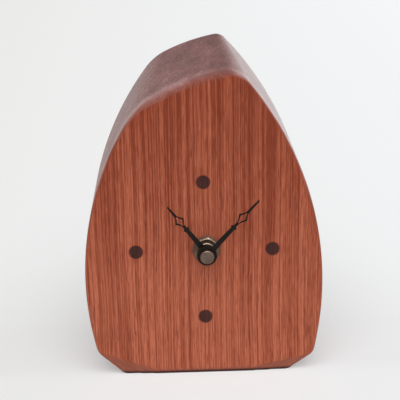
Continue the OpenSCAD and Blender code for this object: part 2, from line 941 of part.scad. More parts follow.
module front_case() {
    color([0.10, 0.10, 0.11])
    difference() {
        union() {
            difference() {
                layer(0, case_split)
                    case_outline();
                layer(case_wall, case_split)
                    case_room();
            }
            layer(case_wall - eps, case_split - case_wall + eps)
                box2([-inner_half, bay_top], [inner_half, bay_wall_top]);
            for (place = plate_posts)
                post(place, case_wall - eps, plate_v - case_wall + eps, post_r);
            for (place = core_posts)
                post(place, case_wall - eps, core_v - case_wall + eps, post_r);
            post(reverse_at, case_wall - eps, plate_v - case_wall + eps, reverse_post_r);
            post(setting_at, case_wall - eps, wheel_gap + eps, stem_d / 2 + stem_boss_w);
        }
        post([0, 0], -1, case_wall + 2, bush_d / 2);
        // bearing of the setting stem, half way into the front wall
        post(setting_at, case_wall / 2, case_wall + 2, stem_pivot_r + run_clear);
    }
}

module rear_case() {
    color([0.10, 0.10, 0.11])
    difference() {
        union() {
            difference() {
                layer(case_split, case_d - case_split)
                    case_outline();
                layer(case_split - 1, rear_in - case_split + 1)
                    case_room();
                // battery bay, open at the back
                layer(case_split - 1, case_d)
                    intersection() {
                        case_room();
                        box2([-inner_half, -case_down], [inner_half, bay_top]);
                    }
            }
            layer(case_split, case_d - case_split)
                box2([-inner_half - eps, bay_top], [inner_half + eps, bay_wall_top]);
            for (place = [[0, 0], third_at, fifth_at, rotor_at])
                post(place, rear_v, rear_in - rear_v + eps, boss_r);
            for (place = board_posts)
                post(place, board_v + board_t, rear_in - board_v - board_t + eps, board_post_r);
            // collar round the setting stem, and grip ribs
            post(setting_at, case_d - eps, knob_gap / 2 + eps, stem_d / 2 + stem_boss_w);
            for (i = [0 : rib_count - 1])
                layer(case_d - eps, rib_t + eps)
                    translate([-case_half + rib_in, case_up - rib_in - rib_w - i * rib_pitch])
                        square([rib_l, rib_w]);
        }
        for (place = [[0, 0], third_at, fifth_at, rotor_at])
            post(place, rear_v - 1, 1 + pivot_in, pivot_r + run_clear);
        post(setting_at, case_split, case_d, stem_d / 2 + run_clear);
        // slots where the contacts pass the bay's wall
        for (side = [-1, 1])
            layer(strip_v - slot_clear, rear_in - strip_v + slot_clear)
                translate([side * (inner_half - contact_t / 2), (bay_top + bay_wall_top) / 2])
                    square([contact_t + 2 * slot_clear, bay_wall_t + 1], center = true);
    }
}

module train_plate() {
    color([0.80, 0.80, 0.78])
    difference() {
        layer(plate_v, plate_t)
            difference() {
                union() {
                    box2([plate_x[0], plate_z[0]], [plate_x[1], plate_z[1]]);
                    box2([tab_plate_x[0], plate_z[1] - 1], [tab_plate_x[1], tab_plate_top]);
                }
                translate(setting_at)
                    circle(r = stem_d / 2 + run_clear);
                circle(r = sleeve_r + run_clear);
            }
        for (place = [third_at, fifth_at, rotor_at])
            post(place, plate_v - 1, plate_t + 2, pivot_r + run_clear);
    }
}

module stator() {
    leg = stator_leg_w / 2;
    arm_z = rotor_at[1] - stator_arm_drop;
    top_z = coil_at[1] + core_h / 2;
    color([0.62, 0.62, 0.64])
    layer(stator_v, lamination_t)
        difference() {
            union() {
                translate(rotor_at)
                    circle(r = stator_r);
                box2([core_left, arm_z - leg], [rotor_at[0], arm_z + leg]);
                box2([core_left, arm_z - leg], [core_left + stator_leg_w, top_z]);
                box2([core_right - core_over, rotor_at[1]], [core_right, top_z]);
            }
            translate(rotor_at)
                circle(r = magnet_d / 2 + magnet_gap);
        }
}

module coil_core() {
    color([0.62, 0.62, 0.64])
    layer(core_v, lamination_t)
        core_bar();
}

module core_bar() {
    box2([core_left, coil_at[1] - core_h / 2], [core_right, coil_at[1] + core_h / 2]);
}

// A round bar along X, through the coil's axis
module along_coil(x, l, r) {
    translate([shaft_x + x, move_y + coil_v, shaft_z + coil_at[1]])
        rotate([0, 90, 0])
            cylinder(r = r, h = l);
}

module coil_bobbin() {
    left = coil_at[0] - coil_l / 2;
    color([0.20, 0.32, 0.50])
    difference() {
        union() {
            along_coil(left, coil_l, core_h / 2 + bobbin_wall);
            along_coil(left, flange_t, coil_d / 2);
            along_coil(left + coil_l - flange_t, flange_t, coil_d / 2);
        }
        layer(core_v, lamination_t)
            core_bar();
    }
}

module coil_winding() {
    left = coil_at[0] - coil_l / 2 + flange_t;
    long = coil_l - 2 * flange_t;
    color([0.72, 0.38, 0.18])
    difference() {
        along_coil(left, long, coil_d / 2 - winding_in);
        along_coil(left - 1, long + 2, core_h / 2 + bobbin_wall);
    }
}

module circuit_board() {
    color([0.12, 0.38, 0.22])
    layer(board_v, board_t)
        box2([board_x[0], board_z[0]], [board_x[1], board_z[1]]);
}

module chip() {
    color([0.05, 0.05, 0.05])
    post(chip_at, board_v + board_t, chip_t, chip_r);
}

module quartz_crystal() {
    color([0.75, 0.75, 0.77])
    translate([shaft_x + crystal_at[0], move_y + board_v + board_t + crystal_r, shaft_z + crystal_at[1]])
        cylinder(r = crystal_r, h = crystal_l);
}

module positive_contact() {
    outer = inner_half;
    top_z = bay_wall_top + contact_t;
    tab_x = [board_x[1] - tab_w - board_edge / 2, board_x[1] - board_edge / 2];
    color([0.78, 0.78, 0.76])
    union() {
        layer(contact_front_v, strip_end_v - contact_front_v)
            box2([outer - contact_t, contact_low], [outer, contact_high]);
        layer(strip_v, strip_w) {
            box2([outer - contact_t, contact_high - eps], [outer, top_z]);
            box2([tab_x[0], bay_wall_top], [outer, top_z]);
        }
        // tab that reaches the back of the circuit board
        layer(board_v + board_t, strip_end_v - board_v - board_t)
            box2([tab_x[0], bay_wall_top], [tab_x[1], tab_z[1]]);
    }
}

module negative_contact() {
    left = -inner_half;
    face = left + contact_t;
    crest = face + spring_room;
    color([0.78, 0.78, 0.76])
    union() {
        layer(contact_front_v, strip_end_v - contact_front_v)
            box2([left, contact_low], [face, contact_high]);
        // bowed leaf that presses on the battery
        layer(battery_v - leaf_w / 2, leaf_w)
            polygon([[face - eps, contact_low], [crest, battery_z - leaf_half_top],
                     [crest, battery_z + leaf_half_top], [face - eps, contact_high],
                     [face - eps, contact_high - leaf_foot],
                     [crest - contact_t, battery_z + leaf_half_top - slot_clear],
                     [crest - contact_t, battery_z - leaf_half_top + slot_clear],
                     [face - eps, contact_low + leaf_foot]]);
        layer(strip_v, strip_w)
            box2([left, contact_high - eps], [face, tab_z[1]]);
        // tab that reaches the back of the circuit board
        layer(board_v + board_t, strip_end_v - board_v - board_t)
            box2([left, tab_z[0]], [board_x[0] + tab_w, tab_z[1]]);
    }
}

// A round bar along X, through the battery's axis
module along_battery(x, l, r) {
    translate([shaft_x + x, move_y + battery_v, shaft_z + battery_z])
        rotate([0, 90, 0])
            cylinder(r = r, h = l);
}

module battery_cell() {
    color([0.75, 0.75, 0.77])
    union() {
        along_battery(battery_left, battery_l, battery_d / 2 - sleeve_t);
        along_battery(battery_left + battery_l - eps, button_l + eps, button_d / 2);
    }
}

module battery_sleeve() {
    color([0.16, 0.17, 0.19])
    difference() {
        along_battery(battery_left + sleeve_end, battery_l - 2 * sleeve_end, battery_d / 2);
        along_battery(battery_left, battery_l, battery_d / 2 - sleeve_t);
    }
}

block();
marker_12();
marker_3();
marker_6();
marker_9();
dial_washer();
hex_nut();
threaded_bushing();
gasket();
hour_hand();
hour_wheel();
minute_hand();
cap_nut();
minute_arbor();
reverse_wheel();
setting_stem();
setting_knob();
centre_wheel();
third_wheel();
second_wheel();
fifth_wheel();
rotor_arbor();
rotor_magnet();
front_case();
rear_case();
train_plate();
stator();
coil_core();
coil_bobbin();
coil_winding();
circuit_board();
chip();
quartz_crystal();
positive_contact();
negative_contact();
battery_cell();
battery_sleeve();
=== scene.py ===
"""Wooden desk clock: the finish of every surface, the hand-rounded block, the studio and the camera.

X runs to the right across the dial, Y runs back into the block and Z is up. Blender works in
metres; sizes that end in _MM and all of the block's outline are in millimetres.
"""
import json
import math

import bmesh
import bpy
import numpy as np
from mathutils import Matrix, Vector

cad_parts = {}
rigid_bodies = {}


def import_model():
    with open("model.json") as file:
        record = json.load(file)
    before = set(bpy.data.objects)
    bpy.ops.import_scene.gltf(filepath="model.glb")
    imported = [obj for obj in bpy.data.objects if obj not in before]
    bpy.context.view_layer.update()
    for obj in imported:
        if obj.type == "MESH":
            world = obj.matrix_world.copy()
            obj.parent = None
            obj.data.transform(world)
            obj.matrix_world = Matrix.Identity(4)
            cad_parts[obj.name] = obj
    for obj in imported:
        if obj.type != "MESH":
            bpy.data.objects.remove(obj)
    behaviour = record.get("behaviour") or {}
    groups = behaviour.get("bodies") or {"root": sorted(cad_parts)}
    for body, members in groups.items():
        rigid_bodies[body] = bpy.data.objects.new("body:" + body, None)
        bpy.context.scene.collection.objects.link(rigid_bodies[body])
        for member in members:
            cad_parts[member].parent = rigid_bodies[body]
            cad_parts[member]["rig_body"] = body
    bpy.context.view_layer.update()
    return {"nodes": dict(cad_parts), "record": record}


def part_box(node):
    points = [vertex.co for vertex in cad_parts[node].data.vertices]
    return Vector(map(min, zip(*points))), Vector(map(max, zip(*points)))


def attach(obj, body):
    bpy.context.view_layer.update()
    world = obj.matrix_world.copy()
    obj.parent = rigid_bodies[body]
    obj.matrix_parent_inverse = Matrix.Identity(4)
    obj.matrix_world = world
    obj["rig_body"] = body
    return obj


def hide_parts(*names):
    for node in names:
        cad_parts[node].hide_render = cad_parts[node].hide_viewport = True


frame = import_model()
MM = 0.001


# Node helpers
class Tree:
    """A short way to add nodes to a node tree."""

    def __init__(self, tree):
        self.tree = tree

    def fill(self, socket, value):
        """Links value to the socket, or sets it there."""
        if isinstance(value, bpy.types.NodeSocket):
            self.tree.links.new(value, socket)
        else:
            socket.default_value = value

    def add(self, kind, inputs=(), **settings):
        node = self.tree.nodes.new("ShaderNode" + kind)
        for key, value in settings.items():
            setattr(node, key, value)
        for key, value in dict(inputs).items():
            self.fill(node.inputs[key], value)
        return node

    def math(self, operation, *values):
        return self.add("Math", dict(enumerate(values)), operation=operation).outputs[0]

    def xyz(self, vector):
        return self.add("SeparateXYZ", {0: vector}).outputs

    def span(self, value, to=(0.0, 1.0), start=(0.0, 1.0), **settings):
        """Maps value from the range start to the range to, and keeps it inside."""
        inputs = {"Value": value, "From Min": start[0], "From Max": start[1],
                  "To Min": to[0], "To Max": to[1]}
        return self.add("MapRange", inputs, **settings).outputs[0]


class Nodes(Tree):
    """The node tree of a new material."""

    def __init__(self, name, rough=0.5, metal=0.0):
        self.material = bpy.data.materials.new(name)
        self.material.use_nodes = True
        super().__init__(self.material.node_tree)
        self.shader = self.tree.nodes["Principled BSDF"]
        self.set("Roughness", rough)
        self.set("Metallic", metal)
        coordinates = self.add("TexCoord").outputs
        self.place, self.facing = coordinates["Object"], coordinates["Normal"]

    def set(self, socket, value):
        self.fill(self.shader.inputs[socket], value)

    def mapped(self, per_mm, shift=(0, 0, 0)):
        """Object coordinates times a scale that is given per millimetre."""
        scale = [s / MM for s in per_mm]
        return self.add("Mapping", {"Vector": self.place, "Scale": scale, "Location": shift}).outputs[0]

    def noise(self, vector, detail=3.0, rough=0.5):
        inputs = {"Vector": vector, "Scale": 1.0, "Detail": detail, "Roughness": rough}
        return self.add("TexNoise", inputs).outputs["Fac"]

    def ramp(self, value, stops, smooth=True):
        """Numbers or colours at positions from 0 to 1, eased or straight between them."""
        node = self.add("ValToRGB", {"Fac": value})
        ramp = node.color_ramp
        ramp.interpolation = "EASE" if smooth else "LINEAR"
        while len(ramp.elements) < len(stops):
            ramp.elements.new(0.5)
        for element, (position, color) in zip(ramp.elements, stops):
            element.position = position
            grey = not hasattr(color, "__len__")
            element.color = (color, color, color, 1) if grey else (*color, 1)
        return node.outputs["Color"]

    def mix(self, share, a, b, blend="MIX"):
        node = self.add("Mix", data_type="RGBA", blend_type=blend)
        for key, value in (("Factor", share), ("A", a), ("B", b)):
            socket = next(s for s in node.inputs if s.name == key and s.enabled)
            self.fill(socket, (*value, 1) if isinstance(value, tuple) else value)
        return next(s for s in node.outputs if s.enabled)

    def bump(self, height, depth_mm, strength=0.4):
        inputs = {"Height": height, "Distance": depth_mm * MM, "Strength": strength}
        self.set("Normal", self.add("Bump", inputs).outputs["Normal"])


# Camera, at the photograph's viewing angle
CAMERA_AT = (-0.01388, -0.56392, 0.25328)
CAMERA_YAW = math.radians(-1.33)
CAMERA_DOWN = math.radians(17.32)
CAMERA_ROLL = math.radians(-1.13)
LENS_MM, SENSOR_MM = 108, 36


def make_camera():
    data = bpy.data.cameras.new("camera")
    data.lens = LENS_MM
    data.sensor_width = SENSOR_MM
    camera = bpy.data.objects.new("camera", data)
    turn = (Matrix.Rotation(CAMERA_YAW, 4, "Z")
            @ Matrix.Rotation(math.pi / 2 - CAMERA_DOWN, 4, "X")
            @ Matrix.Rotation(CAMERA_ROLL, 4, "Z"))
    camera.matrix_world = Matrix.Translation(CAMERA_AT) @ turn
    bpy.context.scene.collection.objects.link(camera)
    bpy.context.scene.camera = camera


# Studio: pale paper that fills the view, a white room and three large soft lamps. Together they
# light a surface so that its colour renders about as it is written.
PAPER_HALF = 9.0
PAPER_ROUGH, PAPER_SHINE = 0.9, 0.1
# The paper's colour changes from left to right across the view
PAPER_LEFT, PAPER_RIGHT, PAPER_SIDE_AT = (0.810, 0.808, 0.792), (0.900, 0.908, 0.922), 0.30
# Share of the paper's own colour that the camera sees at any light, which softens the shadow
PAPER_OWN = 0.42
# A soft painted shade across the paper, a darker band which starts at the clock's base line: its
# extent along Y, and shares of the colour at steps along it
SHADE_BAND_EXTENT = (-0.04, 0.12)
SHADE_BAND_STEPS = [(0.03, 0.97), (0.10, 0.94), (0.40, 0.955), (0.65, 0.98), (1.0, 1.0)]
ROOM_COLOR = (0.97, 0.99, 1.0, 1)
ROOM_LIGHT = 0.20
# What the camera sees of the room past the paper's edge
ROOM_SEEN = 0.96
# What mirror-like surfaces see of the room: dark on the camera's side, bright behind and above,
# and the directions, as the sum of their Y and Z, between which that changes
ROOM_IN_FRONT, ROOM_BEHIND, ROOM_TURNS = 0.22, 0.95, (-0.3, 0.5)
# Each lamp's direction, its strength and its apparent width in degrees
SUNS = {
    "front": {"from": (0.0, -1.0, 1.5), "level": 0.86, "spread": 60},
    "right": {"from": (1.0, -0.2, 0.45), "level": 0.17, "spread": 60},
    "left": {"from": (-1.0, -0.2, 0.5), "level": 0.06, "spread": 60},
}


def make_room():
    world = bpy.data.worlds.new("room")
    world.use_nodes = True
    background = world.node_tree.nodes["Background"]
    background.inputs["Color"].default_value = ROOM_COLOR
    n = Tree(world.node_tree)
    toward = n.xyz(n.add("TexCoord").outputs["Generated"])
    behind = n.math("ADD", toward["Y"], toward["Z"])
    mirror = n.span(behind, (ROOM_IN_FRONT, ROOM_BEHIND), ROOM_TURNS, interpolation_type="SMOOTHSTEP")
    path = n.add("LightPath").outputs
    unseen = n.span(path["Is Glossy Ray"], (ROOM_LIGHT, mirror))
    n.fill(background.inputs["Strength"], n.span(path["Is Camera Ray"], (unseen, ROOM_SEEN)))
    bpy.context.scene.world = world


def paper_material():
    n = Nodes("paper", PAPER_ROUGH)
    at = n.xyz(n.place)
    side = n.span(at["X"], start=(-PAPER_SIDE_AT, PAPER_SIDE_AT))
    # painted shade: the paper's colour darkens in a band that starts at the clock's base line
    band = n.ramp(n.span(at["Y"], start=SHADE_BAND_EXTENT), SHADE_BAND_STEPS, False)
    color = n.mix(1.0, n.mix(side, PAPER_LEFT, PAPER_RIGHT), band, "MULTIPLY")
    own = n.math("MULTIPLY", n.add("LightPath").outputs["Is Camera Ray"], PAPER_OWN)
    n.set("Base Color", n.mix(own, color, (0, 0, 0)))
    n.set("Emission Color", color)
    n.set("Emission Strength", own)
    n.set("Specular IOR Level", PAPER_SHINE)
    return n.material


def make_studio():
    mesh = bpy.data.meshes.new("paper")
    corners = [(x, y, 0) for x, y in ((-1, -1), (1, -1), (1, 1), (-1, 1))]
    mesh.from_pydata([Vector(c) * PAPER_HALF for c in corners], [], [(0, 1, 2, 3)])
    mesh.materials.append(paper_material())
    paper = bpy.data.objects.new("paper", mesh)
    bpy.context.scene.collection.objects.link(paper)
    make_room()
    for name, sun in SUNS.items():
        data = bpy.data.lights.new(name, "SUN")
        data.energy = math.pi * sun["level"]
        data.angle = math.radians(sun["spread"])
        light = bpy.data.objects.new(name, data)
        light.matrix_world = Vector(sun["from"]).to_track_quat("Z", "Y").to_matrix().to_4x4()
        bpy.context.scene.collection.objects.link(light)


# Wood. Each list of pairs says how much of something shows, at values of what its name ends with:
# depth behind the dial, height, or slope, which is how far a surface faces one way, from 0 to 1.
# Each grain is noise per millimetre across and along the fibres, with its own shift and detail
BROAD_GRAIN, BROAD_SHARE = {"scale": (0.06, 0.003), "shift": 3.0}, 0.9
BAND_GRAIN, BAND_SHARE = {"scale": (0.40, 0.005), "shift": 5.0}, 0.7
FLECK_GRAIN, FLECK_SHARE = {"scale": (2.2, 0.20), "shift": 8.0}, 0.9
LINE_GRAIN, LINE_SHARE = {"scale": (1.5, 0.0035), "shift": 7.0, "detail": 1.0}, 0.42
LINE_EDGES = [(0.44, 0.0), (0.54, 1.0)]
# Thin dark lines follow where a slow noise passes its middle, and pores where a fine one is low
SPLIT_GRAIN = {"scale": (0.60, 0.008), "shift": 2.0, "detail": 3.0, "rough": 0.6}
SPLIT_EDGES = [(0.004, 1.0), (0.016, 0.0)]
PORE_GRAIN, PORE_EDGES = {"scale": (1.7, 0.075), "shift": 11.0}, [(0.36, 1.0), (0.40, 0.0)]
HOLLOW_SHARE = 0.6
# The wood's tone darkens upwards as painted shade: two heights in millimetres, and the tone at each
TONE_AND_SHADE_HEIGHTS, TONES_AND_SHADE = (45, 150), (0.62, 0.06)
TONE_PLACES = (0.05, 0.5, 0.95)
WANDER_GRAIN, WANDER_MM = (0.02, 0.02, 0.010), 4.0
# The lines bend inwards where the front face curves back
BEND_PER_MM, BEND_DEPTH_MM = 0.35, 1.6
# End grain shows on what faces up, and more on the two flanks
END_BY_SLOPE = [(0.05, 0.0), (0.2, 0.4), (0.5, 0.5), (0.75, 1.0)]
FLANK_BY_SLOPE = [(0.05, 0.0), (0.5, 1.0)]
RIGHT_BY_SLOPE, LEFT_BY_SLOPE = [(0.0, 0.0), (0.7, 1.0)], [(0.3, 0.0), (0.7, 1.0)]
# Speckle, sanding streaks and patches on the end grain: noise per millimetre, and its share
SPECKLE_GRAIN, SPECKLE_SHARE = (0.9, 0.30, 0.9), 0.8
STREAK_GRAIN, STREAK_SHARE, STREAK_TURN = (0.045, 0.50, 0.045), 0.36, math.radians(-58)
PATCH_GRAIN, PATCH_SHARE = (0.10, 0.05, 0.10), 1.9
# A painted highlight lightens the end grain near the dial's edge and a painted sheen on the
# flanks, more on the right; the marks get plainer behind the edge
EDGE_BAND_DEPTH_MM = 20
EDGE_HIGHLIGHT_BY_DEPTH, MARKS_BY_DEPTH = [(0.0, 0.5), (0.15, 0.65), (0.6, 0.0)], [(0.1, 0.8), (0.4, 2.6)]
PAINTED_SHEEN_RIGHT, PAINTED_SHEEN_LEFT = 0.6, 0.3
END_COLOR_PLACES = (0.05, 0.45, 1.0)
# Painted shade darkens the bevels that face down, a painted contact shadow darkens the foot where
# the clock stands, and a dark line of glue lies round each dowel
DOWNWARD_SHADE, SHADE_BY_DOWNWARD_SLOPE = (0.20, 0.073, 0.056), [(0.05, 0.0), (0.18, 0.4)]
CONTACT_SHADE, CONTACT_SHADE_HEIGHT_MM, CONTACT_SHADE_BY_HEIGHT = (0.045, 0.014, 0.011), 2.0, [(0.4, 0.95), (1.0, 0.0)]
GLUE_BY_MM = [(0.25, 0.7), (0.5, 0.0)]
# Gloss of raw wood, and what oil changes
RAW_ROUGH, OIL_SMOOTHS = (0.66, 0.80), 0.2
RAW_SHINE, OIL_SHINE = 0.04, 0.06
SHEEN, SHEEN_END, SHEEN_RIGHT, SHEEN_LEFT, SHEEN_ROUGH = 0.26, -0.12, 0.50, 0.08, 0.4
LINE_HEIGHT, HOLLOW_HEIGHT, WOOD_BUMP_MM = 0.5, 0.6, 0.12


def fibres(n, at, depth):
    """Noise stretched along the fibres: the tone of the wood, its fine lines and its hollows."""
    bend = n.math("MINIMUM", n.math("MAXIMUM", depth, 0.0), BEND_DEPTH_MM)
    bend = n.math("MULTIPLY_ADD", bend, BEND_PER_MM, 1.0)
    wander = n.noise(n.mapped(WANDER_GRAIN), 1.0)
    across = n.math("MULTIPLY_ADD", wander, WANDER_MM, n.math("MULTIPLY", at["X"], bend))

    def grain(scale, shift, detail=2.0, rough=0.5):
        sideways = n.math("MULTIPLY", across, scale[0])
        inwards = n.math("MULTIPLY_ADD", at["Y"], scale[0], shift)
        along = n.math("MULTIPLY", at["Z"], scale[1])
        point = n.add("CombineXYZ", {0: sideways, 1: inwards, 2: along}).outputs[0]
        return n.noise(point, detail, rough)

    lines = n.ramp(grain(**LINE_GRAIN), LINE_EDGES)
    # the tone starts from a painted shade that darkens the wood upwards
    tone = n.span(at["Z"], TONES_AND_SHADE, TONE_AND_SHADE_HEIGHTS)
    for noise, share in ((grain(**BROAD_GRAIN), BROAD_SHARE), (grain(**BAND_GRAIN), BAND_SHARE),
                         (grain(**FLECK_GRAIN), FLECK_SHARE), (lines, LINE_SHARE)):
        tone = n.math("ADD", tone, n.math("MULTIPLY_ADD", noise, share, -share / 2))
    split = n.math("ABSOLUTE", n.math("SUBTRACT", grain(**SPLIT_GRAIN), 0.5))
    pits = n.ramp(grain(**PORE_GRAIN), PORE_EDGES)
    return tone, lines, n.math("MAXIMUM", n.ramp(split, SPLIT_EDGES), pits)


def dust_and_sheen_on_top(n, depth, right, left):
    """How light the end grain looks, from 0 to 1: dust and sanding marks, with a painted
    highlight near the dial's edge and a painted sheen on the flanks.
    """
    speckle = n.noise(n.mapped(SPECKLE_GRAIN, (1, 6, 3)), 4.0, 0.7)
    turned = n.add("VectorRotate", {"Vector": n.mapped((1, 1, 1)), "Angle": STREAK_TURN},
                   rotation_type="Z_AXIS").outputs[0]
    stretched = n.add("VectorMath", {0: turned, 1: STREAK_GRAIN}, operation="MULTIPLY").outputs[0]
    streaks = n.noise(stretched, 4.0, 0.6)
    back = n.math("MULTIPLY", depth, 1 / EDGE_BAND_DEPTH_MM)
    marks = n.math("MULTIPLY_ADD", streaks, STREAK_SHARE, n.math("MULTIPLY", speckle, SPECKLE_SHARE))
    marks = n.math("SUBTRACT", marks, (STREAK_SHARE + SPECKLE_SHARE) / 2)
    marks = n.math("MULTIPLY", marks, n.ramp(back, MARKS_BY_DEPTH))
    patches = n.math("SUBTRACT", n.noise(n.mapped(PATCH_GRAIN, (4, 2, 1)), 2.0), 0.5)
    patches = n.math("MULTIPLY", patches, n.math("SUBTRACT", PATCH_SHARE, n.math("ADD", right, left)))
    # painted highlight: the end grain gets paler near the dial's edge
    dust_and_sheen = n.math("ADD", n.math("ADD", marks, patches), n.ramp(back, EDGE_HIGHLIGHT_BY_DEPTH))
    # painted sheen: the flanks, more the right one, get a paler colour that stands in for their grazing
    # reflection
    for share, side in ((PAINTED_SHEEN_RIGHT, right), (PAINTED_SHEEN_LEFT, left)):
        dust_and_sheen = n.math("MULTIPLY_ADD", side, share, dust_and_sheen)
    return n.math("MULTIPLY_ADD", dust_and_sheen, 0.5, 0.25)


def wood(name, dark, mid, light, pore, end_dark, end_light, dust_and_sheen, oil=1.0, dowels=()):
    """Straight-grained, open-pored hardwood whose fibres run along Z. Its end grain, on top and on
    the flanks, is duller and dusty, with a painted sheen on the flanks and a painted highlight near
    the dial's edge; oil is 1 on a finished surface and 0 on a raw one. Each dowel is the centre and
    radius, in millimetres, of one that has a dark line of glue round it."""
    n = Nodes(name)
    at = n.xyz(n.mapped((1, 1, 1)))
    depth = n.math("SUBTRACT", at["Y"], FRONT_Y)
    tone, lines, hollow = fibres(n, at, depth)
    color = n.ramp(tone, list(zip(TONE_PLACES, (dark, mid, light))), False)
    color = n.mix(n.math("MULTIPLY", hollow, HOLLOW_SHARE), color, pore)
    facing = n.xyz(n.facing)
    flank = n.ramp(facing["Z"], FLANK_BY_SLOPE)
    right = n.math("MULTIPLY", flank, n.ramp(facing["X"], RIGHT_BY_SLOPE))
    left = n.math("MULTIPLY", flank, n.ramp(n.math("MULTIPLY", facing["X"], -1.0), LEFT_BY_SLOPE))
    end = n.math("MAXIMUM", n.ramp(facing["Z"], END_BY_SLOPE), n.math("MAXIMUM", right, left))
    # the end colours carry a painted sheen on the flanks and a painted highlight near the dial's edge
    end_colors = list(zip(END_COLOR_PLACES, (end_dark, end_light, dust_and_sheen)))
    color = n.mix(end, color, n.ramp(dust_and_sheen_on_top(n, depth, right, left), end_colors, False))
    # painted shade on the surfaces that face down
    under = n.ramp(n.math("MULTIPLY", facing["Z"], -1.0), SHADE_BY_DOWNWARD_SLOPE)
    color = n.mix(under, color, DOWNWARD_SHADE)
    # painted contact shadow: the foot darkens towards the floor
    foot = n.ramp(n.math("MULTIPLY", at["Z"], 1 / CONTACT_SHADE_HEIGHT_MM), CONTACT_SHADE_BY_HEIGHT)
    color = n.mix(foot, color, CONTACT_SHADE)
    for x, z, radius in dowels:
        away = n.add("VectorMath", {0: n.mapped((1, 0, 1)), 1: (x, 0, z)}, operation="DISTANCE")
        glue = n.ramp(n.math("SUBTRACT", away.outputs["Value"], radius), GLUE_BY_MM)
        color = n.mix(glue, color, pore)
    n.set("Base Color", color)
    n.set("Roughness", n.span(lines, [rough - OIL_SMOOTHS * oil for rough in RAW_ROUGH]))
    n.set("Specular IOR Level", RAW_SHINE + OIL_SHINE * oil)
    sheen = n.math("MULTIPLY_ADD", end, SHEEN_END, SHEEN)
    for share, side in ((SHEEN_LEFT, left), (SHEEN_RIGHT, right)):
        sheen = n.math("MULTIPLY_ADD", side, share, sheen)
    n.set("Sheen Weight", sheen)
    n.set("Sheen Roughness", SHEEN_ROUGH)
    height = n.math("SUBTRACT", n.math("MULTIPLY", lines, LINE_HEIGHT),
                    n.math("MULTIPLY", hollow, HOLLOW_HEIGHT))
    n.bump(height, WOOD_BUMP_MM)
    return n.material


# Other materials: patches per millimetre, and how far the roughness changes
PLAIN_PATCHES, PLAIN_EDGES, PLAIN_ROUGH = (0.12,) * 3, (0.35, 0.65), (-0.08, 0.08)
TURNED_PATCHES, TURNED_EDGES, TURNED_ROUGH = (0.5,) * 3, (0.35, 0.6), (-0.07, 0.12)
TURNED_RINGS_PER_MM, TURNED_TARNISH, TURNED_BUMP_MM = 6.0, 0.25, 0.02
# painted highlight on a turned part's surfaces that face up: their metalness, and their share by slope
HIGHLIGHT_METAL, HIGHLIGHT_BY_SLOPE = 0.3, [(0.15, 0.0), (0.5, 1.0)]
WRAP_GRAIN, WRAP_ROUGH, WRAP_METAL, WRAP_BUMP_MM = (2.0,) * 3, (0.2, 0.34), 0.8, 0.005
WRAP_SPLIT, WRAP_SPLIT_HALF = 0.72, 0.005


def plain(name, color, rough, grain_mm=0.4, depth_mm=0.03, metal=0.0, spread=0.12, shine=0.5):
    """A moulded, painted or rolled surface: slight colour change, fine grain and uneven gloss."""
    n = Nodes(name, rough, metal)
    n.set("Specular IOR Level", shine)
    patch = n.noise(n.mapped(PLAIN_PATCHES), 3.0)
    grain = n.noise(n.mapped((1 / grain_mm,) * 3), 2.0)
    low = [c * (1 - spread) for c in color]
    high = [min(1, c * (1 + spread)) for c in color]
    n.set("Base Color", n.ramp(patch, list(zip(PLAIN_EDGES, (low, high)))))
    n.set("Roughness", n.span(grain, [rough + change for change in PLAIN_ROUGH]))
    n.bump(grain, depth_mm)
    return n.material


def turned(name, color, rough, axis_mm, metal=1.0, highlight_color=None):
    """Metal turned on a lathe about an axis along Y: fine rings, and tarnish in patches. A highlight
    colour, when given, is painted as a highlight on the surfaces that face up, which are also less
    metallic."""
    n = Nodes(name, rough, metal)
    flat = n.mapped((1, 0, 1), (-axis_mm[0], 0, -axis_mm[1]))
    away = n.add("VectorMath", {0: flat}, operation="LENGTH").outputs["Value"]
    rings = n.add("CombineXYZ", {0: n.math("MULTIPLY", away, TURNED_RINGS_PER_MM)}).outputs[0]
    patch = n.noise(n.mapped(TURNED_PATCHES), 3.0)
    low = [c * (1 - TURNED_TARNISH) for c in color]
    tarnished = n.ramp(patch, list(zip(TURNED_EDGES, (low, color))))
    if highlight_color:
        # painted highlight: the surfaces that face up take a brighter, less metallic colour
        highlight_share = n.ramp(n.xyz(n.facing)["Z"], HIGHLIGHT_BY_SLOPE)
        tarnished = n.mix(highlight_share, tarnished, highlight_color)
        n.set("Metallic", n.math("MULTIPLY_ADD", highlight_share, HIGHLIGHT_METAL - metal, metal))
    n.set("Base Color", tarnished)
    n.set("Roughness", n.span(patch, [rough + change for change in TURNED_ROUGH]))
    n.bump(n.noise(rings, 2.0), TURNED_BUMP_MM, 0.5)
    return n.material


def battery_wrap(name, dark, copper):
    """Printed film of a battery: dark, and copper-coloured over the rest at its positive end."""
    n = Nodes(name)
    low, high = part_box("battery_sleeve")
    contact_low, contact_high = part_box("positive_contact")
    contact_is_right = contact_low.x + contact_high.x > low.x + high.x
    ends = (low.x, high.x) if contact_is_right else (high.x, low.x)
    along = n.span(n.xyz(n.place)["X"], start=ends)
    grain = n.noise(n.mapped(WRAP_GRAIN), 2.0)
    band = n.ramp(along, [(WRAP_SPLIT - WRAP_SPLIT_HALF, 0.0), (WRAP_SPLIT + WRAP_SPLIT_HALF, 1.0)])
    n.set("Base Color", n.mix(band, dark, copper))
    n.set("Metallic", n.math("MULTIPLY", band, WRAP_METAL))
    n.set("Roughness", n.span(grain, WRAP_ROUGH))
    n.bump(grain, WRAP_BUMP_MM)
    return n.material


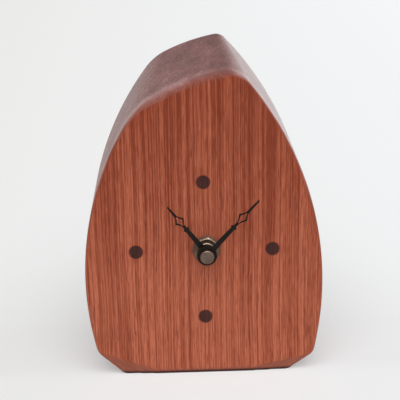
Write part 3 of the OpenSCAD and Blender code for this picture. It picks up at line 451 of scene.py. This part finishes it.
# Block outline, with the same driving sizes as the model's own, in millimetres
LEFT_REACH, LEFT_R, LEFT_Z = 56.5, 148.0, 48.0
RIGHT_REACH, RIGHT_R, RIGHT_Z = 56.0, 157.0, 45.0
CROWN_R, CROWN_X, CROWN_Z, CROWN_RISE = 97.0, 25.7, 148.5, 6.7
FOOT_HALF = 39.6
LEFT_CUT, RIGHT_CUT = (12.4, 11.9), (11.5, 8.6)
FRONT_BEVEL, FRONT_BEVEL_Y, CORNER_BEVEL_X, CORNER_BEVEL_Y = 2.4, 0.5, 24.0, 1.6
DIAL_WALL, SAME_DEPTH = 6.0, 0.05
# Roundness of the hand-sanded edges; the first two are given at the front and at the back
SHOULDER_ROUND, APEX_ROUND = (3.2, 2.0), (6.0, 2.4)
FOOT_ROUND, BASE_ROUND, BEVEL_ROUND = 1.2, 0.6, 0.12
BACK_ROUND, MOUTH_ROUND = 1.1, 0.5
# Roundness of the dial's edge: under the crown, along the sides and low down. It changes over a
# distance between crown and sides, and between two heights from low to side
FRONT_ROUND, FRONT_SIDE_ROUND, FRONT_LOW_ROUND = 3.4, 1.0, 0.4
FRONT_ROUND_FADE, FRONT_LOW_HEIGHTS = 12, (5, 20)
# A point well inside the block, and how far from the shaft its side lies at least and at most
INSIDE, SIDE_NEAR, SIDE_FAR = (0.0, 0.0, 60.0), 5.0, 160.0
# Angles between which the crown's right corner lies, mirrored for the left one, and the distances
# from the shaft at which the faces are compared to find it
CORNER_ANGLES, CORNER_REACHES = (0.02, 1.0), (40, 130, 1801)
SIDE_HALVINGS, CORNER_HALVINGS = 40, 30

block_low, block_high = (np.array(c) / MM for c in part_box("block"))
FRONT_Y, BACK_Y = block_low[1], block_high[1]
nut_low, nut_high = (np.array(c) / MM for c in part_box("hex_nut"))
SHAFT_X, SHAFT_Z = (nut_low[0] + nut_high[0]) / 2, (nut_low[2] + nut_high[2]) / 2


def hole_radii():
    """Radii of the shaft hole and of the bored recess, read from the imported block's dial wall."""
    points = np.array([v.co for v in frame["nodes"]["block"].data.vertices]) / MM
    inner = points[np.abs(points[:, 1] - FRONT_Y - DIAL_WALL) < SAME_DEPTH]
    away = np.hypot(inner[:, 0] - SHAFT_X, inner[:, 2] - SHAFT_Z)
    return away.min(), away.max()


def round_and(a, b, radius):
    """Signed distance inside both a and b, with the edge between them rounded."""
    radius = np.maximum(radius, 1e-3)
    return (np.minimum(np.maximum(a, b), -radius)
            + np.hypot(np.maximum(a + radius, 0), np.maximum(b + radius, 0)))


def plane_side(x, y, z, a, b, c):
    """Signed distance to the plane through a, b and c, negative on the block's side."""
    a, b, c = (np.array(p, float) for p in (a, b, c))
    normal = np.cross(b - a, c - a)
    normal /= np.linalg.norm(normal)
    if (np.array(INSIDE) - a) @ normal > 0:
        normal = -normal
    return (x - a[0]) * normal[0] + (y - a[1]) * normal[1] + (z - a[2]) * normal[2]


def faces_distance(x, y, z):
    """Signed distances from points to each face of the block, negative inside."""
    climb = math.atan2(CROWN_RISE, BACK_Y - FRONT_Y)
    crown_axis_z = CROWN_Z - CROWN_R + (y - FRONT_Y) * math.tan(climb)
    corner_y = FRONT_Y + CORNER_BEVEL_Y
    bevels = [plane_side(x, y, z, (0, FRONT_Y + FRONT_BEVEL_Y, 0), (-1, FRONT_Y, FRONT_BEVEL),
                         (1, FRONT_Y, FRONT_BEVEL))]
    cuts = []
    for side, (run, rise) in ((-1, LEFT_CUT), (1, RIGHT_CUT)):
        foot = side * FOOT_HALF
        bevels.append(plane_side(x, y, z, (side * CORNER_BEVEL_X, FRONT_Y, FRONT_BEVEL),
                                 (foot, corner_y, 0), (foot + side * run, FRONT_Y, rise)))
        cuts.append(plane_side(x, y, z, (foot, 0, 0), (foot + side * run, 0, rise), (foot, 1, 0)))
    return {
        "left": np.hypot(x - (LEFT_R - LEFT_REACH), z - LEFT_Z) - LEFT_R,
        "right": np.hypot(x - (RIGHT_REACH - RIGHT_R), z - RIGHT_Z) - RIGHT_R,
        "crown": np.hypot(x - CROWN_X, (z - crown_axis_z) * math.cos(climb)) - CROWN_R,
        "base": -z,
        "cuts": cuts,
        "bevels": bevels,
    }


def block_distance(x, y, z):
    """Signed distance from points to the rounded block, negative inside."""
    d = faces_distance(x, y, z)
    back = (y - FRONT_Y) / (BACK_Y - FRONT_Y)
    near = round_and(d["left"], d["crown"], np.interp(back, (0, 1), SHOULDER_ROUND))
    near = round_and(near, d["right"], np.interp(back, (0, 1), APEX_ROUND))
    for cut in d["cuts"]:
        near = round_and(near, cut, FOOT_ROUND)
    near = round_and(near, d["base"], BASE_ROUND)
    over = (d["crown"] - np.maximum(d["left"], d["right"])) / FRONT_ROUND_FADE
    on_top = np.clip(0.5 + over, 0, 1) * (z > SHAFT_Z)
    beside = np.interp(z, FRONT_LOW_HEIGHTS, (FRONT_LOW_ROUND, FRONT_SIDE_ROUND))
    near = round_and(near, FRONT_Y - y, beside * (1 - on_top) + FRONT_ROUND * on_top)
    for bevel in d["bevels"]:
        near = round_and(near, bevel, BEVEL_ROUND)
    return round_and(near, y - BACK_Y, BACK_ROUND)


def edge_reach(angles, y):
    """Distance from the shaft to the rounded block's side, for each angle clockwise from up."""
    low, high = np.full(angles.shape, SIDE_NEAR), np.full(angles.shape, SIDE_FAR)
    for _ in range(SIDE_HALVINGS):
        reach = (low + high) / 2
        x, z = SHAFT_X + reach * np.sin(angles), SHAFT_Z + reach * np.cos(angles)
        out = block_distance(x, y, z) > 0
        high = np.where(out, reach, high)
        low = np.where(out, low, reach)
    return (low + high) / 2


def corner_angle(side, y):
    """Angle at which the curved top meets a side, found by halving."""
    near, far = CORNER_ANGLES
    low, high = (near, far) if side == "right" else (-far, -near)
    reach = np.linspace(*CORNER_REACHES)
    for _ in range(CORNER_HALVINGS):
        angle = (low + high) / 2
        d = faces_distance(SHAFT_X + reach * math.sin(angle), y, SHAFT_Z + reach * math.cos(angle))
        crown_first = reach[np.argmax(d["crown"] > 0)] < reach[np.argmax(d[side] > 0)]
        if crown_first == (side == "right"):
            low = angle
        else:
            high = angle
    return (low + high) / 2


# Columns of the block's mesh from corner to corner, clockwise from the peak, and how much they
# crowd towards the corners
COLUMN_RUNS = [("right side", 70, 0.75), ("right cut", 14, 0.75), ("base", 84, 0.3),
               ("left cut", 16, 0.75), ("left side", 66, 0.75), ("crown", 44, 0.75)]
# Rows of it: shares of the way out over the dial, over the back and over the recess's floor, and
# counts over each rounded edge, along the sides and along the recess
DIAL_SHARES = [0, 0.03, 0.2, 0.4, 0.6, 0.8, 0.92, 0.97, 0.99]
BACK_SHARES = [0.01, 0.04, 0.15, 0.4, 0.7, 0.95]
FLOOR_SHARES = [0.01, 0.1, 0.3, 0.5, 0.7, 0.9, 0.99, 1]
ARC_ROWS, SIDE_ROWS, RECESS_ROWS = 9, 46, 24
# Gaps in millimetres between those rows and the next: behind the dial's edge, before the back's
# edge, inside the recess's mouth, and at both ends of the shaft hole
FRONT_GAP, BACK_GAP, MOUTH_GAP, HOLE_GAP = 0.8, 1.0, 1.0, 0.2


def spread(count, crowding):
    """Steps from 0 to just short of 1 that crowd towards both ends."""
    t = np.arange(count) / count
    return (1 - crowding) * t + crowding * (1 - np.cos(np.pi * t)) / 2


def column_angles(y):
    """Angles of the mesh's columns, which follow the block's corners from front to back."""
    def angle_of(x, z):
        return math.atan2(x - SHAFT_X, z - SHAFT_Z)
    turn = 2 * math.pi
    corners = [corner_angle("right", y), angle_of(FOOT_HALF + RIGHT_CUT[0], RIGHT_CUT[1]),
               angle_of(FOOT_HALF, 0), angle_of(-FOOT_HALF, 0) + turn,
               angle_of(-FOOT_HALF - LEFT_CUT[0], LEFT_CUT[1]) + turn, corner_angle("left", y) + turn]
    ends = [*corners[1:], corners[0] + turn]
    return np.concatenate([start + (end - start) * spread(count, crowding)
                           for start, end, (_, count, crowding) in zip(corners, ends, COLUMN_RUNS)])


def block_rows():
    """The block's surface as rows of points round the shaft, from the front of the shaft hole
    over the dial, the sides and the back, and through the recess to the hole again. Each row says
    whether it is inside, where the wood is raw."""
    hole_r, recess_r = hole_radii()
    arc = np.linspace(0, math.pi / 2, ARC_ROWS)
    front_arc = FRONT_Y + FRONT_ROUND * (1 - np.cos(arc))
    back_arc = BACK_Y - BACK_ROUND * (1 - np.cos(arc[::-1]))
    long_run = np.linspace(front_arc[-1] + FRONT_GAP, back_arc[0] - BACK_GAP, SIDE_ROWS)
    side_y = np.concatenate([front_arc, long_run, back_arc])
    inner_y = FRONT_Y + DIAL_WALL
    rows = []

    def ring(angles, reach, y, inside):
        reach = np.broadcast_to(reach, angles.shape)
        points = np.stack([SHAFT_X + reach * np.sin(angles), np.full(angles.shape, y),
                           SHAFT_Z + reach * np.cos(angles)], 1)
        rows.append((points, inside))

    front_angles, back_angles = column_angles(FRONT_Y), column_angles(BACK_Y)
    front_reach, back_reach = edge_reach(front_angles, FRONT_Y), edge_reach(back_angles, BACK_Y)
    for share in DIAL_SHARES:
        ring(front_angles, hole_r + (front_reach - hole_r) * share, FRONT_Y, False)
    for y in side_y:
        angles = column_angles(y)
        ring(angles, edge_reach(angles, y), y, False)
    mouth_r = recess_r + MOUTH_ROUND
    for share in BACK_SHARES:
        ring(back_angles, back_reach + (mouth_r - back_reach) * share, BACK_Y, False)
    for angle in arc:
        ring(back_angles, recess_r + MOUTH_ROUND * (1 - math.sin(angle)),
             BACK_Y - MOUTH_ROUND * (1 - math.cos(angle)), True)
    for y in np.linspace(BACK_Y - MOUTH_ROUND - MOUTH_GAP, inner_y, RECESS_ROWS):
        ring(back_angles, recess_r, y, True)
    for share in FLOOR_SHARES:
        ring(back_angles, recess_r + (hole_r - recess_r) * share, inner_y, True)
    for y in [inner_y - HOLE_GAP, (inner_y + FRONT_Y) / 2, FRONT_Y + HOLE_GAP]:
        ring(front_angles, hole_r, y, True)
    return rows


def new_piece(name, mesh):
    piece = bpy.data.objects.new(name, mesh)
    bpy.context.scene.collection.objects.link(piece)
    return piece


def apply_modifiers(piece):
    """Replaces the piece's mesh by what its modifiers make of it."""
    bpy.context.view_layer.update()
    graph = bpy.context.evaluated_depsgraph_get()
    mesh = bpy.data.meshes.new_from_object(piece.evaluated_get(graph))
    piece.modifiers.clear()
    piece.data = mesh


def weigh_normals(piece, keep_sharp):
    weighted = piece.modifiers.new("weighted", "WEIGHTED_NORMAL")
    weighted.keep_sharp = keep_sharp
    apply_modifiers(piece)


MARKERS = ("marker_12", "marker_3", "marker_6", "marker_9")
SOCKET_SEGMENTS, SOCKET_SPARE_MM = 96, 0.4
BLOCK_SHARP = math.radians(50)


def block_mesh():
    """The block's surface; its first material is the finished wood and its second the raw."""
    rows = block_rows()
    count = len(rows[0][0])
    points = np.concatenate([points for points, _ in rows]) * MM
    faces = []
    material = []
    for r in range(len(rows)):
        after = (r + 1) % len(rows)
        for c in range(count):
            right = (c + 1) % count
            faces.append((r * count + c, r * count + right, after * count + right, after * count + c))
            material.append(1 if rows[r][1] and rows[after][1] or r == len(rows) - 1 else 0)
    mesh = bpy.data.meshes.new("block_wood")
    mesh.from_pydata(points.tolist(), [], faces)
    mesh.polygons.foreach_set("material_index", material)
    mesh.update()
    return mesh


def socket_cutter(marker):
    """A cylinder that cuts a dowel's socket, open to the front."""
    low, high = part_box(marker)
    centre = (low + high) / 2
    radius = (high.x - low.x) / 2
    place = Matrix.Translation((centre.x, low.y, centre.z)) @ Matrix.Rotation(math.pi / 2, 4, "X")
    bm = bmesh.new()
    bmesh.ops.create_cone(bm, cap_ends=True, segments=SOCKET_SEGMENTS, radius1=radius, radius2=radius,
                          depth=2 * (high.y - low.y) + SOCKET_SPARE_MM * MM, matrix=place)
    mesh = bpy.data.meshes.new("cutter")
    bm.to_mesh(mesh)
    bm.free()
    return new_piece("cutter", mesh)


def make_block():
    piece = new_piece("block_wood", block_mesh())
    cutters = [socket_cutter(marker) for marker in MARKERS]
    for cutter in cutters:
        cut = piece.modifiers.new("socket", "BOOLEAN")
        cut.object = cutter
        cut.operation = "DIFFERENCE"
        cut.solver = "EXACT"
    apply_modifiers(piece)
    for cutter in cutters:
        bpy.data.objects.remove(cutter)
    piece.data.materials.clear()
    piece.data.materials.append(WOOD)
    piece.data.materials.append(RAW_WOOD)
    piece.data.shade_smooth()
    piece.data.set_sharp_from_angle(angle=BLOCK_SHARP)
    weigh_normals(piece, True)
    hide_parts("block")
    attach(piece, "clock")


# Widths in millimetres of the softened edges of small parts
SOFT_EDGES = {
    "marker_12": 0.12, "marker_3": 0.12, "marker_6": 0.12, "marker_9": 0.12,
    "dial_washer": 0.12, "hex_nut": 0.3, "hour_hand": 0.1, "minute_hand": 0.1, "cap_nut": 0.12,
    "front_case": 0.3, "rear_case": 0.2, "setting_knob": 0.12, "battery_cell": 0.3,
}
# Points closer than this, in metres, are one, and faces within this angle are one plane
SAME_POINT, SAME_PLANE = 1e-6, math.radians(0.3)
SOFT_SEGMENTS, SOFT_FROM_ANGLE = 3, math.radians(38)


def soften(node, width_mm):
    """A copy of a CAD node with its sharp edges slightly rounded, which stands for the node."""
    source = frame["nodes"][node]
    body = source["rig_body"]
    mesh = source.data.copy()
    bm = bmesh.new()
    bm.from_mesh(mesh)
    bmesh.ops.remove_doubles(bm, verts=bm.verts, dist=SAME_POINT)
    bmesh.ops.dissolve_limit(bm, angle_limit=SAME_PLANE, verts=bm.verts, edges=bm.edges)
    bm.to_mesh(mesh)
    bm.free()
    piece = new_piece(node + "_soft", mesh)
    bevel = piece.modifiers.new("bevel", "BEVEL")
    bevel.width = width_mm * MM
    bevel.segments = SOFT_SEGMENTS
    bevel.limit_method = "ANGLE"
    bevel.angle_limit = SOFT_FROM_ANGLE
    bevel.harden_normals = False
    mesh.shade_smooth()
    weigh_normals(piece, False)
    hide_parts(node)
    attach(piece, body)
    return piece


def dowel_circle(marker):
    """A dowel's centre, as x and z, and its radius in millimetres."""
    low, high = (np.array(c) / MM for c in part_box(marker))
    return (low[0] + high[0]) / 2, (low[2] + high[2]) / 2, (high[0] - low[0]) / 2


shaft = (SHAFT_X, SHAFT_Z)
WOOD = wood("oiled_wood", (0.210, 0.038, 0.016), (0.335, 0.082, 0.040), (0.480, 0.138, 0.076),
            (0.150, 0.026, 0.012), (0.100, 0.032, 0.028), (0.215, 0.085, 0.074), (0.50, 0.31, 0.295),
            dowels=[dowel_circle(marker) for marker in MARKERS])
RAW_WOOD = wood("bored_wood", (0.26, 0.085, 0.055), (0.40, 0.14, 0.085), (0.52, 0.20, 0.12),
                (0.18, 0.06, 0.04), (0.24, 0.09, 0.06), (0.40, 0.16, 0.11), (0.46, 0.24, 0.18), 0.0)
DOWEL_WOOD = wood("dowel_wood", (0.042, 0.014, 0.011), (0.054, 0.018, 0.015), (0.072, 0.024, 0.020),
                  (0.022, 0.009, 0.008), (0.04, 0.015, 0.012), (0.07, 0.03, 0.025), (0.10, 0.05, 0.04))
SLOT_MATERIALS = {
    "block_wood": WOOD,
    "mark_wood": DOWEL_WOOD,
    "washer_steel": turned("washer_metal", (0.17, 0.075, 0.045), 0.6, shaft, 0.2),
    "brass": turned("nut_brass", (0.18, 0.105, 0.075), 0.28, shaft, 0.85, highlight_color=(0.42, 0.34, 0.26)),
    "hand_black": plain("hand_paint", (0.009, 0.006, 0.004), 0.5, 0.25, 0.01, shine=0.15),
    "cap_bronze": turned("cap_metal", (0.185, 0.13, 0.10), 0.36, shaft),
    "gasket_rubber": plain("gasket_rubber", (0.02, 0.02, 0.02), 0.8, 0.3, 0.03),
    "case_plastic": plain("case_plastic", (0.018, 0.018, 0.019), 0.52, 0.35, 0.04),
    "gear_plastic": plain("gear_plastic", (0.78, 0.77, 0.70), 0.45, 0.6, 0.01, spread=0.04),
    "arbor_brass": plain("arbor_brass", (0.66, 0.47, 0.20), 0.3, 0.3, 0.01, 1.0),
    "knob_plastic": plain("knob_plastic", (0.022, 0.022, 0.023), 0.48, 0.35, 0.03),
    "plate_plastic": plain("plate_plastic", (0.56, 0.56, 0.52), 0.5, 0.5, 0.02, spread=0.05),
    "magnet": plain("magnet", (0.04, 0.04, 0.045), 0.55, 0.15, 0.03),
    "lamination": plain("lamination", (0.45, 0.45, 0.47), 0.4, 0.3, 0.01, 1.0),
    "bobbin_plastic": plain("bobbin_plastic", (0.02, 0.06, 0.20), 0.45, 0.4, 0.02),
    "copper_wire": plain("copper_wire", (0.60, 0.20, 0.07), 0.35, 0.12, 0.05, 1.0),
    "board": plain("board", (0.01, 0.09, 0.035), 0.4, 0.5, 0.02),
    "chip_black": plain("chip_epoxy", (0.01, 0.01, 0.01), 0.5, 0.3, 0.02),
    "crystal_can": plain("crystal_can", (0.62, 0.62, 0.64), 0.22, 0.5, 0.005, 1.0),
    "contact_metal": plain("contact_metal", (0.62, 0.62, 0.60), 0.3, 0.3, 0.005, 1.0),
    "battery_steel": plain("battery_steel", (0.60, 0.60, 0.62), 0.28, 0.4, 0.005, 1.0),
    "battery_wrap": battery_wrap("battery_wrap", (0.02, 0.022, 0.026), (0.55, 0.26, 0.12)),
}


def dress_nodes():
    """Gives every CAD node the material of its slot, and softens the edges of the small parts."""
    slots = {s["node"]: s["material_slot"] for s in frame["record"]["subparts"]}
    for node, source in frame["nodes"].items():
        material = SLOT_MATERIALS[slots[node]]
        piece = source
        if node in SOFT_EDGES:
            piece = soften(node, SOFT_EDGES[node])
        if len(piece.data.materials) == 0:
            piece.data.materials.append(material)
        for i in range(len(piece.data.materials)):
            piece.material_slots[i].material = material


make_camera()
make_studio()
dress_nodes()
make_block()
bpy.context.scene.view_settings.view_transform = "Standard"
